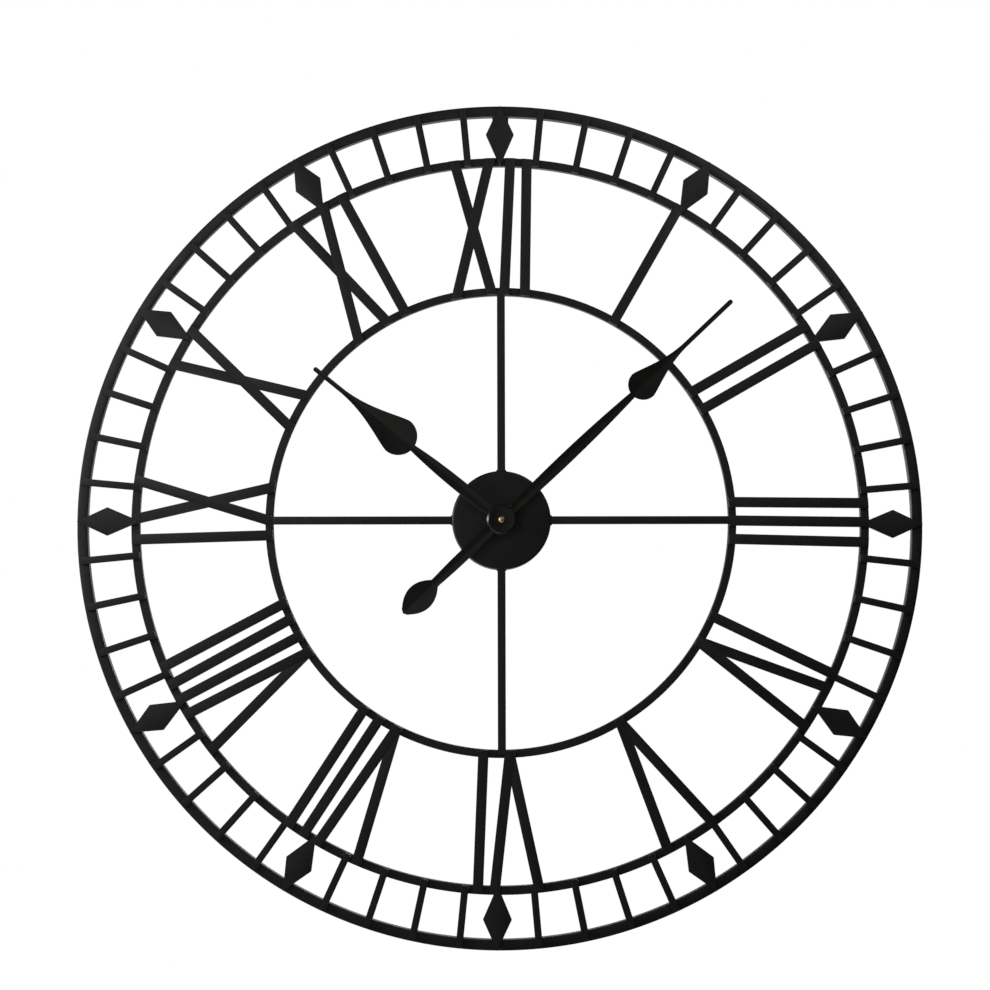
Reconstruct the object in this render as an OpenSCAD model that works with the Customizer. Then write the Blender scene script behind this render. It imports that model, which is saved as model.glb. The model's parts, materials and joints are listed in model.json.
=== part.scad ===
// Skeleton wall clock: three welded steel rings, roman numerals cut from flat bar,
// diamond and bar minute marks, two pressed hands and a battery quartz movement.
//
// Origin: centre of the hanging hole, on the wall plane.  +Z is up, the wall is the
// plane Y = 0 and the dial looks along -Y.  Depths below are distances from the wall.
// Millimetres and degrees.  Clock angles run clockwise from twelve o'clock.

/* [Overall] */
// Outer diameter of the clock
clock_d = 800; // [500:10:1000]
// Height of the hanging hole above the hands' axis
hang_drop = 374; // [230:1:480]
// Which sub-part to draw

/* [Rings] */
// Width of the outer ring's face
outer_face = 10; // [6:0.5:16]
// Depth of the outer ring, front to back
outer_depth = 8; // [4:0.5:14]
// Outer diameter of the chapter ring
chapter_d = 698; // [400:1:900]
// Width of the chapter ring's face
chapter_face = 8; // [5:0.5:14]
// Outer diameter of the inner ring
inner_d = 445.6; // [250:0.2:600]
// Width of the inner ring's face
inner_face = 7.5; // [5:0.5:14]
// Depth of the chapter and inner rings
ring_depth = 6; // [3:0.5:12]

/* [Flat bars] */
// Thickness of all flat bars
bar_t = 3; // [1.5:0.5:6]
// Depth of the rings' front faces, where the bars are welded on
ring_front = 19.5; // [14:0.5:30]
// Width of a minute bar
tick_w = 6.6; // [4:0.1:10]
// How far a minute bar stops short of the outer ring's edge
tick_short = 2; // [0.5:0.5:8]
// Angle from an hour to the first minute bar after it
tick_first = 5.7; // [4:0.1:7]
// Angle between neighbouring minute bars
tick_pitch = 6.4; // [5:0.1:7]
// Greatest turn of the minute bars by their uneven setting out
tick_skew = 0.4; // [0:0.1:1]
// Width of a diamond
diamond_w = 26.8; // [16:0.2:40]
// Radius at which a diamond is widest
diamond_mid = 371; // [360:1:380]
// Width of a numeral's bar
stroke_w = 9.7; // [6:0.1:14]
// Width of a spoke
spoke_w = 7.5; // [5:0.5:14]

/* [Centre cup] */
// Outer diameter of the cup
cup_d = 93.6; // [80:0.2:120]
// Depth of the cup's front face
cup_front = 24; // [20:0.5:34]
// Thickness of the cup's sheet
cup_sheet = 1.2; // [0.8:0.1:2]
// Outside radius of the cup's rolled front edge
cup_corner = 2.5; // [1.5:0.1:5]

/* [Hanging bracket] */
// Width of the bracket
bracket_w = 15.5; // [12:0.5:24]
// Thickness of the bracket
bracket_t = 2.5; // [1.5:0.5:4]
// Diameter of the hanging hole
hang_hole_d = 8; // [5:0.5:10]

/* [Hands] */
// Clock angle of the minute hand
minute_at = 46.5; // [0:0.1:360]
// Clock angle of the hour hand
hour_at = 309.1; // [0:0.1:360]
// Length of the minute hand from the axis to its tip
minute_len = 302; // [200:1:340]
// Length of the hour hand from the axis to its tip
hour_len = 228; // [150:1:280]
// Length of the minute hand's tail
tail_len = 127; // [60:1:160]
// Thickness of the hands' sheet
hand_t = 0.8; // [0.5:0.1:1.2]
// Rise of a hand's edges above its middle fold, per millimetre of half width
crease = 0.12; // [0:0.01:0.2]
// Radius of the minute hand's round hub
minute_hub_r = 14; // [8:0.5:18]
// Radius of the hour hand's round hub
hour_hub_r = 12; // [8:0.5:16]

/* [Movement] */
// Side of the square movement case
case_w = 56; // [55:0.5:58]
// Case wall thickness
case_wall = 1.4; // [1:0.1:2]
// Battery diameter
battery_d = 14.2; // [14:0.1:14.5]
// Battery length over its terminal
battery_len = 50.5; // [49.5:0.1:50.5]
// Radius of the threaded bush
bush_r = 3.9; // [3.5:0.1:5]
// Radius of the hour wheel's tube
hour_tube_r = 2.5; // [2.4:0.05:2.6]
// Radius of the minute arbor inside that tube
arbor_r = 1.55; // [1.4:0.05:1.6]
// Radial clearance of a turning fit
run_gap = 0.05; // [0.02:0.01:0.1]

/* [Hidden] */
$fn = 96;
eps = 0.01;
outer_r = clock_d / 2;
chapter_r = chapter_d / 2;
chapter_in = chapter_r - chapter_face;
inner_r = inner_d / 2;
inner_in = inner_r - inner_face;
bar_front = ring_front + bar_t;
band_in = chapter_r - chapter_face / 2 + 0.2;
stroke_out = chapter_r - chapter_face / 2;
stroke_in = inner_in + chapter_face / 2 - 0.1;
spoke_out = stroke_in - 0.2;
cup_r = cup_d / 2;

// Paint and metal colours
steel_black = [0.12, 0.12, 0.12];
hand_black = [0.08, 0.08, 0.08];
brass = [0.78, 0.6, 0.3];
plastic_black = [0.1, 0.1, 0.11];
plastic_white = [0.9, 0.9, 0.87];
bright = [0.75, 0.75, 0.77];
copper = [0.72, 0.4, 0.2];
sleeve_blue = [0.15, 0.3, 0.55];
green = [0.1, 0.35, 0.18];

// Numerals.  Each bar is [offset at the chapter ring, offset at the inner ring],
// measured across the hour's own radius, positive clockwise.  The bars are set by
// hand on a real clock, so the hours differ a little from each other.
bars_of = [
  [[-2, -1.5]],
  [[-15, -15], [5, 4.5]],
  [[-16, -17], [2, 0.5], [21, 18]],
  [[-30, -21], [-15.5, 5.5], [25.5, 7]],
  [[-28.5, -2], [19.5, -1]],
  [[-34, -8], [6.5, -7], [22.5, 17.5]],
  [[-41.5, -13], [-2, -12], [13.5, 6.5], [30, 23.5]],
  [[-49.5, -17], [-10, -16], [5.5, 1], [21.5, 19], [39.5, 35]],
  [[-17.5, -14], [2.5, 30], [37.5, 1]],
  [[-26, 9.5], [8.5, -22]],
  [[-28.5, 0], [2.5, -30], [23.5, 20.5]],
  [[-43.5, -10], [-12, -40], [9, 3.5], [25, 23]]
];
// Turn of each diamond from its hour, clockwise; these too are set by hand
diamond_turn = [-0.1, 0.3, 0.1, 0.6, 0.9, 0, 0.7, 0.6, 0.3, -0.1, 0.3, 0.2];
// Minute bars sit a little late on the right half of the dial and early on the left
skew_from = 18;
function tick_angle(h, k) =
  let (a = 30 * h + tick_first + k * tick_pitch) a + tick_skew * sin(a - skew_from);
// Radii at which the numerals' offsets hold
bar_hi = 341;
bar_lo = 222;

// Depths of the movement's layers
case_front_d = cup_front - cup_sheet - 1;
inside_front = case_front_d - case_wall;
case_back_d = 6.6;
inside_back = case_back_d + case_wall;
layer_hour = 18.5;
layer_minute = 17.1;
layer_centre = 15.6;
layer_third = 14.3;
layer_mid = 13;
wheel_t = 1;
thin_t = 0.9;

// Depths along the hands' axis
washer_t = 0.6;
nut_t = 2.3;
bush_end = cup_front + washer_t + nut_t + 0.7;
hour_tube_end = 31;
hour_plate = 29.4;
hour_hub_back = hour_plate - 0.1;
hour_hub_front = hour_plate + 1.2;
minute_plate = 33.6;
minute_hub_back = minute_plate - 0.1;
minute_hub_front = 35.4;
arbor_shoulder = 36;
arbor_end = 38.2;
cap_front = 39.6;

// Gears: tooth counts and arbor positions about the hands' axis
teeth_cannon = 12;
teeth_minute = 36;
teeth_minute_pinion = 10;
teeth_hour = 40;
teeth_setting = 12;
teeth_centre = 64;
teeth_third = 60;
teeth_mid = 48;
teeth_pinion = 8;
motion_dist = 9.7;
third_dist = 10.9;
mid_dist = 10.3;
rotor_dist = 8.5;
minute_dir = 20;
setting_dir = 45;
third_dir = 150;
mid_dir = 60;
rotor_dir = 10;
function polar(d, a) = [d * cos(a), d * sin(a)];
minute_pos = polar(motion_dist, minute_dir);
setting_pos = minute_pos + polar(motion_dist, setting_dir);
third_pos = polar(third_dist, third_dir);
mid_pos = third_pos + polar(mid_dist, mid_dir);
rotor_pos = mid_pos + polar(rotor_dist, rotor_dir);

// Phase of a gear that meshes with another one: the tooth of the first that lies
// nearest the line of centres meets a gap of the second
function meshed(dir, phase, teeth_a, teeth_b) =
  dir + 180 - 180 / teeth_b + (dir - phase) * teeth_a / teeth_b;
phase_cannon = 0;
phase_minute = meshed(minute_dir, phase_cannon, teeth_cannon, teeth_minute);
phase_setting = meshed(setting_dir, phase_minute, teeth_minute, teeth_setting);
phase_hour_pinion = phase_minute;
phase_hour = meshed(minute_dir + 180, phase_hour_pinion, teeth_minute_pinion, teeth_hour);
phase_centre = 0;
phase_third = meshed(third_dir, phase_centre, teeth_centre, teeth_pinion);
phase_mid = meshed(mid_dir, phase_third, teeth_third, teeth_pinion);
phase_rotor = meshed(rotor_dir, phase_mid, teeth_mid, teeth_pinion);

// ---- Helpers ---------------------------------------------------------------------

// Extrudes a flat shape between two depths; shape X stays X, shape Y becomes Z
module slab(back, front) {
  translate([0, -back, -hang_drop])
    rotate([90, 0, 0])
      linear_extrude(front - back) children();
}

// Turns a profile [radius, depth] round the hands' axis
module turned() {
  translate([0, 0, -hang_drop])
    rotate([90, 0, 0])
      rotate_extrude() children();
}

module ring_2d(r_out, r_in) {
  difference() {
    circle(r = r_out, $fn = 256);
    circle(r = r_in, $fn = 256);
  }
}

module tube(pos, r_out, r_in, back, front) {
  slab(back, front)
    translate(pos)
      difference() {
        circle(r = r_out);
        circle(r = r_in);
      }
}

module rod(pos, r, back, front) {
  slab(back, front) translate(pos) circle(r = r);
}

module rounded_square(w, h, r) {
  square([w - 2 * r, h], center = true);
  square([w, h - 2 * r], center = true);
  for (x = [-1, 1], y = [-1, 1])
    translate([x * (w / 2 - r), y * (h / 2 - r)]) circle(r = r);
}

// Gear outline with short straight-sided teeth
function pitch_r(dist, teeth, mate) = dist * teeth / (teeth + mate);
function gear_points(teeth, r, phase) =
  let (m = 2 * r / teeth, tip = r + 0.7 * m, root = r - 0.95 * m, p = 360 / teeth)
    [for (i = [0 : teeth - 1])
      for (k = [[root, -0.24], [tip, -0.1], [tip, 0.1], [root, 0.24]])
        polar(k[0], phase + (i + k[1]) * p)];

// A gear with no bore is one piece with its arbor
module gear(pos, teeth, r, phase, back, front, bore = 0) {
  slab(back, front)
    translate(pos)
      difference() {
        polygon(gear_points(teeth, r, phase));
        if (bore > 0) circle(r = bore);
      }
}

// ---- Frame -----------------------------------------------------------------------

module outer_ring() {
  color(steel_black)
    slab(ring_front - outer_depth, ring_front) ring_2d(outer_r, outer_r - outer_face);
}

module chapter_ring() {
  color(steel_black)
    slab(ring_front - ring_depth, ring_front) ring_2d(chapter_r, chapter_in);
}

module inner_ring() {
  color(steel_black)
    slab(ring_front - ring_depth, ring_front) ring_2d(inner_r, inner_in);
}

// The band's marks start half way across the chapter ring
module minute_bars() {
  color(steel_black)
    slab(ring_front, bar_front)
      for (h = [0 : 11], k = [0 : 3])
        rotate(-tick_angle(h, k))
          translate([-tick_w / 2, band_in])
            square([tick_w, outer_r - tick_short - band_in]);
}

// A diamond reaches from the chapter ring to the outer ring's edge, its inner tip cut
module diamonds() {
  tip_in = chapter_in;
  half = diamond_w / 2;
  cut = half * (band_in - tip_in) / (diamond_mid - tip_in);
  color(steel_black)
    slab(ring_front, bar_front)
      for (h = [0 : 11])
        rotate(-30 * h - diamond_turn[h])
          polygon([[-cut, band_in], [cut, band_in], [half, diamond_mid],
            [0, outer_r - 0.3], [-half, diamond_mid]]);
}

// One straight bar of a numeral, longer than it will be
module stroke(hi, lo) {
  lean = atan2(hi - lo, bar_hi - bar_lo);
  translate([(hi + lo) / 2, (bar_hi + bar_lo) / 2])
    rotate(-lean)
      square([stroke_w, 160], center = true);
}

// A numeral's bars run from the inner ring to the middle of the chapter ring
module numeral(hour) {
  color(steel_black)
    slab(ring_front, bar_front)
      intersection() {
        rotate(-30 * hour)
          for (b = bars_of[hour - 1])
            stroke(b[0], b[1]);
        ring_2d(stroke_out, stroke_in);
      }
}

module numeral_i() { numeral(1); }
module numeral_ii() { numeral(2); }
module numeral_iii() { numeral(3); }
module numeral_iv() { numeral(4); }
module numeral_v() { numeral(5); }
module numeral_vi() { numeral(6); }
module numeral_vii() { numeral(7); }
module numeral_viii() { numeral(8); }
module numeral_ix() { numeral(9); }
module numeral_x() { numeral(10); }
module numeral_xi() { numeral(11); }
module numeral_xii() { numeral(12); }

// Spokes are welded to the cup's side and lie on the inner ring
module spokes() {
  color(steel_black)
    slab(ring_front, bar_front)
      for (a = [0 : 90 : 270])
        rotate(a)
          difference() {
            translate([-spoke_w / 2, cup_r - 2]) square([spoke_w, spoke_out - cup_r + 2]);
            circle(r = cup_r, $fn = 256);
          }
}

// Open-backed sheet cup with a rolled front edge and a hole for the bush
module centre_cup() {
  in_r = cup_corner - cup_sheet;
  cx = cup_r - cup_corner;
  cy = cup_front - cup_corner;
  hole_r = bush_r + 0.4;
  color(steel_black)
    turned()
      polygon(concat(
        [[cup_r - cup_sheet, 0], [cup_r, 0]],
        [for (a = [0 : 15 : 90]) [cx + cup_corner * cos(a), cy + cup_corner * sin(a)]],
        [[hole_r, cup_front], [hole_r, cup_front - cup_sheet]],
        [for (a = [90 : -15 : 0]) [cx + in_r * cos(a), cy + in_r * sin(a)]]));
}

// Strip bent twice: a pad welded behind the outer ring and a tab on the wall plane
module hanging_bracket() {
  ring_back = ring_front - outer_depth;
  bend = 7.5;
  pad_top = 24;
  color(steel_black) {
    translate([0, 0, hang_drop])
      slab(0, bracket_t)
        difference() {
          union() {
            circle(r = bracket_w / 2);
            translate([-bracket_w / 2, 0]) square([bracket_w, bend + bracket_t]);
          }
          circle(r = hang_hole_d / 2);
        }
    translate([-bracket_w / 2, -ring_back, bend])
      cube([bracket_w, ring_back - bracket_t + eps, bracket_t]);
    translate([-bracket_w / 2, -ring_back, bend + bracket_t - eps])
      cube([bracket_w, bracket_t, pad_top - bend - bracket_t]);
  }
}

// ---- Movement: fixed pieces --------------------------------------------------------

module gasket() {
  color(plastic_black) tube([0, 0], 9, bush_r + 0.2, case_front_d, cup_front - cup_sheet);
}

module washer() {
  color(bright) tube([0, 0], 7.5, bush_r + 0.2, cup_front, cup_front + washer_t);
}

module hex_nut() {
  across_corners = 11 / cos(30);
  color(brass)
    slab(cup_front + washer_t, cup_front + washer_t + nut_t)
      difference() {
        circle(d = across_corners, $fn = 6);
        circle(r = bush_r + run_gap);
      }
}

// Flanged bush, held in the case front; the hour wheel's tube runs in it
module threaded_bush() {
  color(brass)
    turned()
      polygon([[hour_tube_r + run_gap, inside_front - 0.6], [5.5, inside_front - 0.6],
        [5.5, inside_front], [bush_r, inside_front], [bush_r, bush_end],
        [hour_tube_r + run_gap, bush_end]]);
}

battery_z = -19.2;
battery_depth = inside_front - 0.1 - battery_d / 2;
bay_wall = 1.2;
bay_top = battery_z + battery_d / 2 + 0.3;
pivot_r = 0.5;
boss_r = 1.4;

// Tray with the arbors' front bearings, the minute wheel's post and the battery bay
module case_front() {
  inner_w = case_w - 2 * case_wall;
  color(plastic_black) {
    slab(inside_back, case_front_d)
      difference() {
        rounded_square(case_w, case_w, 3);
        rounded_square(inner_w, inner_w, 1.6);
      }
    slab(inside_front, case_front_d)
      difference() {
        rounded_square(inner_w, inner_w, 1.6);
        circle(r = bush_r);
      }
    slab(inside_back, inside_front)
      translate([-inner_w / 2, bay_top]) square([inner_w, bay_wall]);
    tube(third_pos, boss_r, pivot_r + run_gap, 17.2, inside_front);
    tube(mid_pos, boss_r, pivot_r + run_gap, 15.9, inside_front);
    tube(rotor_pos, boss_r, pivot_r + run_gap, 14.5, inside_front);
    tube(setting_pos, 1.6, 0.6 + run_gap, 18.5, inside_front);
    rod(minute_pos, 0.8, 16.9, inside_front);
  }
}

// Cover plate over the wheels, with the arbors' back bearings; the battery stays open
module case_back() {
  color(plastic_black) {
    slab(case_back_d, inside_back)
      difference() {
        intersection() {
          rounded_square(case_w, case_w, 3);
          translate([-case_w / 2, bay_top]) square([case_w, case_w]);
        }
        translate(setting_pos) circle(r = 1.5 + run_gap);
      }
    tube([0, 0], 1.2, pivot_r + run_gap, inside_back, 13.9);
    tube(third_pos, boss_r, pivot_r + run_gap, inside_back, 13);
    tube(mid_pos, boss_r, pivot_r + run_gap, inside_back, 12.6);
    tube(rotor_pos, boss_r, pivot_r + run_gap, inside_back, 9.8);
  }
}

// Lays a cylinder along X at the battery's or the coil's height
module along_x(x0, x1, r, z, depth) {
  translate([x0, -depth, z - hang_drop])
    rotate([0, 90, 0])
      cylinder(r = r, h = x1 - x0);
}

module battery() {
  nub = 1;
  x1 = battery_len / 2;
  color(sleeve_blue) {
    along_x(-x1, x1 - nub, battery_d / 2, battery_z, battery_depth);
    along_x(x1 - nub - eps, x1, 2.75, battery_z, battery_depth);
  }
}

module contact_plate(x) {
  translate([x, -battery_depth - 4, battery_z - 5 - hang_drop]) cube([0.4, 8, 10]);
}

module contact_positive() {
  color(bright) contact_plate(battery_len / 2 + 0.3);
}

// Plate with one flat turn of spring in front of it
module contact_negative() {
  x0 = -battery_len / 2 - 0.9;
  color(bright) {
    contact_plate(x0);
    difference() {
      along_x(x0 + 0.4 - eps, x0 + 0.85, 3.5, battery_z, battery_depth);
      along_x(x0, x0 + 1, 2.5, battery_z, battery_depth);
    }
  }
}

module circuit_board() {
  color(green)
    slab(9, 9.8) translate([12.5, -9.5]) square([13.5, 16]);
}

module chip() {
  color(plastic_black) rod([19, 0], 3, 9.8, 11);
}

module quartz_crystal() {
  color(bright)
    translate([14.5, -10.8, -8 - hang_drop]) cylinder(r = 1, h = 6);
}

// Sheet stator: a ring round the rotor and two arms that hold the coil's core
coil_z = 23.2;
coil_depth = 11.4;
module stator() {
  z0 = rotor_pos[1];
  x0 = 0.3;
  x1 = 25.8;
  color(bright)
    slab(coil_depth - 0.4, coil_depth + 0.4)
      difference() {
        union() {
          translate(rotor_pos) circle(r = 4.1);
          translate([x0, z0]) square([2, coil_z - z0 + 0.8]);
          translate([rotor_pos[0] + 3, z0 - 1.5]) square([x1 - rotor_pos[0] - 3, 3]);
          translate([x1 - 2, z0]) square([2, coil_z - z0 + 0.8]);
          translate([x0, coil_z - 0.8]) square([x1 - x0, 1.6]);
        }
        translate(rotor_pos) circle(r = 3.2);
      }
}

coil_x0 = 3;
coil_x1 = 23;
module coil_bobbin() {
  core_r = 1.3;
  color(plastic_white)
    difference() {
      union() {
        along_x(coil_x0, coil_x1, 1.8, coil_z, coil_depth);
        along_x(coil_x0, coil_x0 + 0.8, 3.1, coil_z, coil_depth);
        along_x(coil_x1 - 0.8, coil_x1, 3.1, coil_z, coil_depth);
      }
      along_x(coil_x0 - 1, coil_x1 + 1, core_r, coil_z, coil_depth);
    }
}

module coil_winding() {
  color(copper)
    difference() {
      along_x(coil_x0 + 0.8, coil_x1 - 0.8, 2.9, coil_z, coil_depth);
      along_x(coil_x0, coil_x1, 1.8, coil_z, coil_depth);
    }
}

// ---- Movement: turning pieces ------------------------------------------------------

module rotor_magnet() {
  color(bright) tube(rotor_pos, 2.7, 0.8, 10.4, 12.4);
}

module rotor_pinion() {
  r = pitch_r(rotor_dist, teeth_pinion, teeth_mid);
  color(plastic_white) {
    rod(rotor_pos, pivot_r, 8.6, 20);
    rod(rotor_pos, 0.8, 10.2, layer_mid);
    gear(rotor_pos, teeth_pinion, r, phase_rotor, layer_mid, layer_mid + thin_t);
  }
}

module intermediate_wheel() {
  r = pitch_r(rotor_dist, teeth_mid, teeth_pinion);
  pr = pitch_r(mid_dist, teeth_pinion, teeth_third);
  color(plastic_white) {
    rod(mid_pos, pivot_r, 8.6, 20);
    gear(mid_pos, teeth_mid, r, phase_mid, layer_mid, layer_mid + thin_t);
    gear(mid_pos, teeth_pinion, pr, phase_mid, layer_mid + thin_t - eps,
      layer_third + thin_t);
  }
}

module third_wheel() {
  r = pitch_r(mid_dist, teeth_third, teeth_pinion);
  pr = pitch_r(third_dist, teeth_pinion, teeth_centre);
  color(plastic_white) {
    rod(third_pos, pivot_r, 8.6, 20);
    gear(third_pos, teeth_third, r, phase_third, layer_third, layer_third + thin_t);
    gear(third_pos, teeth_pinion, pr, phase_third, layer_third + thin_t - eps,
      layer_centre + thin_t);
  }
}

// Turns the minute arbor by friction, and slips on it when the hands are set
module centre_wheel() {
  r = pitch_r(third_dist, teeth_centre, teeth_pinion);
  color(plastic_white)
    gear([0, 0], teeth_centre, r, phase_centre, layer_centre, layer_centre + thin_t,
      1.2 + run_gap);
}

// Arbor with the cannon pinion; the minute hand and the cap nut sit on its front end
module minute_arbor() {
  r = pitch_r(motion_dist, teeth_cannon, teeth_minute);
  color(bright) {
    turned()
      polygon([[0, 12.3], [pivot_r, 12.3], [pivot_r, 15.3], [1.2, 15.3],
        [1.2, layer_minute - 0.3], [arbor_r, layer_minute - 0.3], [arbor_r, hour_tube_end],
        [1.75, hour_tube_end + 0.4], [1.75, arbor_shoulder], [1.4, arbor_shoulder],
        [1.4, arbor_end], [0, arbor_end]]);
    gear([0, 0], teeth_cannon, r, phase_cannon, layer_minute, layer_minute + wheel_t);
  }
}

module minute_wheel() {
  r = pitch_r(motion_dist, teeth_minute, teeth_cannon);
  pr = pitch_r(motion_dist, teeth_minute_pinion, teeth_hour);
  bore = 0.8 + run_gap;
  color(plastic_white) {
    gear(minute_pos, teeth_minute, r, phase_minute, layer_minute, layer_minute + wheel_t, bore);
    gear(minute_pos, teeth_minute_pinion, pr, phase_hour_pinion,
      layer_minute + wheel_t - eps, layer_hour + wheel_t, bore);
  }
}

module hour_wheel() {
  r = pitch_r(motion_dist, teeth_hour, teeth_minute_pinion);
  color(plastic_white) {
    gear([0, 0], teeth_hour, r, phase_hour, layer_hour, layer_hour + wheel_t, arbor_r + run_gap);
    tube([0, 0], hour_tube_r, arbor_r + run_gap, layer_hour + wheel_t - eps, hour_tube_end);
  }
}

module setting_arbor() {
  r = pitch_r(motion_dist, teeth_setting, teeth_minute);
  color(plastic_white) {
    rod(setting_pos, 1.5, 3.4, layer_minute + eps);
    gear(setting_pos, teeth_setting, r, phase_setting, layer_minute, layer_minute + wheel_t);
    rod(setting_pos, 0.6, layer_minute + wheel_t - eps, 20);
  }
}

// Fluted knob, pushed on the back end of the setting arbor
module setting_knob() {
  flutes = 18;
  color(plastic_black)
    slab(2.2, 6.2)
      translate(setting_pos)
        difference() {
          circle(r = 5.5);
          for (i = [0 : flutes - 1])
            rotate(i * 360 / flutes) translate([5.8, 0]) circle(r = 0.7, $fn = 24);
          circle(r = 1.5);
        }
}

// ---- Hands -------------------------------------------------------------------------

// Half width of a shaft that swells from the hub (a) to its middle (m) and thins to b
function belly(t, a, m, b) =
  (1 - t) * (1 - t) * a + 2 * t * (1 - t) * (2 * m - (a + b) / 2) + t * t * b;

// Half widths [distance, half width] of a spade hand: shaft, round bulb, needle
function spade(start, root, mid, neck, bulb_at, bulb_r, needle_at, needle, len, curve) =
  let (neck_a = asin(neck / bulb_r), bulb_from = bulb_at - bulb_r * cos(neck_a))
    concat(
      [for (i = [0 : 12]) let (t = i / 12)
        [start + t * (bulb_from - start), belly(t, root, mid, neck)]],
      [for (i = [1 : 10]) let (a = neck_a + (90 - neck_a) * i / 10)
        [bulb_at - bulb_r * cos(a), bulb_r * sin(a)]],
      [for (i = [1 : 14]) let (t = i / 14, s = pow(t, curve))
        [bulb_at + t * (needle_at - bulb_at),
          needle + (bulb_r - needle) * (1 - s) * (1 - s) * (1 + 2 * s)]],
      [for (a = [0, 30, 55, 75, 86])
        [len - needle + needle * sin(a), needle * cos(a)]]);

// Half widths of the minute hand's tail: shaft, then a pointed leaf
function leaf_tail(start, root, mid, neck, leaf_at, leaf_r, len) =
  concat(
    [for (i = [0 : 8]) let (t = i / 8)
      [start + t * (leaf_at - start), belly(t, root, mid, neck)]],
    [for (i = [1 : 15]) let (t = i / 16 + 0.03)
      [leaf_at + t * (len - leaf_at), max(neck, leaf_r * pow(sin(180 * t), 0.7))]],
    [[len, 0.2]]);

// Sheet along +Z folded to a shallow V: the fold's back is at the given depth and the
// edges stand forward of it
module pressed_blade(outline, back) {
  n = len(outline);
  points = [for (p = outline) let (z = p[0], w = p[1], edge = back + crease * p[1])
    each [[-w, -edge, z], [0, -back, z], [w, -edge, z],
      [w, -edge - hand_t, z], [0, -back - hand_t, z], [-w, -edge - hand_t, z]]];
  sides = [for (i = [0 : n - 2], k = [0 : 5])
    let (a = 6 * i + k, b = 6 * i + (k + 1) % 6)
      each [[a, b, b + 6], [a, b + 6, a + 6]]];
  near = [[0, 5, 4], [0, 4, 1], [1, 4, 3], [1, 3, 2]];
  far = [for (t = near) [for (i = [2, 1, 0]) t[i] + 6 * (n - 1)]];
  polyhedron(points, concat(sides, near, far), convexity = 6);
}

module at_hand(angle) {
  translate([0, 0, -hang_drop]) rotate([0, angle, 0]) children();
}

// Each hand's hub is a round boss, thicker than the blades that grow out of it
module hour_hand() {
  color(hand_black)
    difference() {
      union() {
        rod([0, 0], hour_hub_r, hour_hub_back, hour_hub_front);
        at_hand(hour_at)
          pressed_blade(spade(8, 4.2, 5.9, 3.3, 125.3, 18.1, 195.3, 2.25, hour_len, 0.68),
            hour_plate);
      }
      rod([0, 0], 3.6, hour_plate - 2, hour_plate + 4);
    }
}

module hour_collet() {
  color(brass) {
    tube([0, 0], 3.6, hour_tube_r, hour_hub_back - 0.8, hour_tube_end);
    tube([0, 0], 5, hour_tube_r, hour_hub_back - 0.8, hour_hub_back);
  }
}

module minute_hand() {
  color(hand_black)
    difference() {
      union() {
        rod([0, 0], minute_hub_r, minute_hub_back, minute_hub_front);
        at_hand(minute_at)
          pressed_blade(spade(8, 3.9, 5.7, 3.1, 184.5, 14.3, 241.5, 2.25, minute_len, 0.66),
            minute_plate);
        at_hand(minute_at + 180)
          pressed_blade(leaf_tail(8, 4.3, 5.4, 4.4, 83.5, 12.9, tail_len), minute_plate);
      }
      rod([0, 0], 3, minute_plate - 2, minute_hub_front + 1);
    }
}

module minute_collet() {
  color(brass) {
    tube([0, 0], 3, 1.75, minute_hub_back - 0.8, arbor_shoulder);
    tube([0, 0], 4.5, 1.75, minute_hub_back - 0.8, minute_hub_back);
  }
}

// Domed nut on the arbor's threaded end
module cap_nut() {
  r = 3.1;
  rim = 1.2;
  base = arbor_shoulder;
  dome = cap_front - base - rim;
  color(brass)
    turned()
      polygon(concat(
        [[1.4, base], [r, base]],
        [for (a = [0 : 10 : 90]) [r * cos(a), base + rim + dome * sin(a)]],
        [[0, arbor_end], [1.4, arbor_end]]));
}

// ---- Output ------------------------------------------------------------------------

outer_ring();
chapter_ring();
inner_ring();
minute_bars();
diamonds();
numeral_i();
numeral_ii();
numeral_iii();
numeral_iv();
numeral_v();
numeral_vi();
numeral_vii();
numeral_viii();
numeral_ix();
numeral_x();
numeral_xi();
numeral_xii();
spokes();
centre_cup();
hanging_bracket();
gasket();
washer();
hex_nut();
threaded_bush();
case_front();
case_back();
battery();
contact_positive();
contact_negative();
circuit_board();
chip();
quartz_crystal();
stator();
coil_bobbin();
coil_winding();
rotor_magnet();
rotor_pinion();
intermediate_wheel();
third_wheel();
centre_wheel();
minute_arbor();
minute_wheel();
hour_wheel();
setting_arbor();
setting_knob();
hour_hand();
hour_collet();
minute_hand();
minute_collet();
cap_nut();
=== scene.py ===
import json
import math
import random

import bmesh
import bpy
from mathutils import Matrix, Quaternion, Vector

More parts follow.
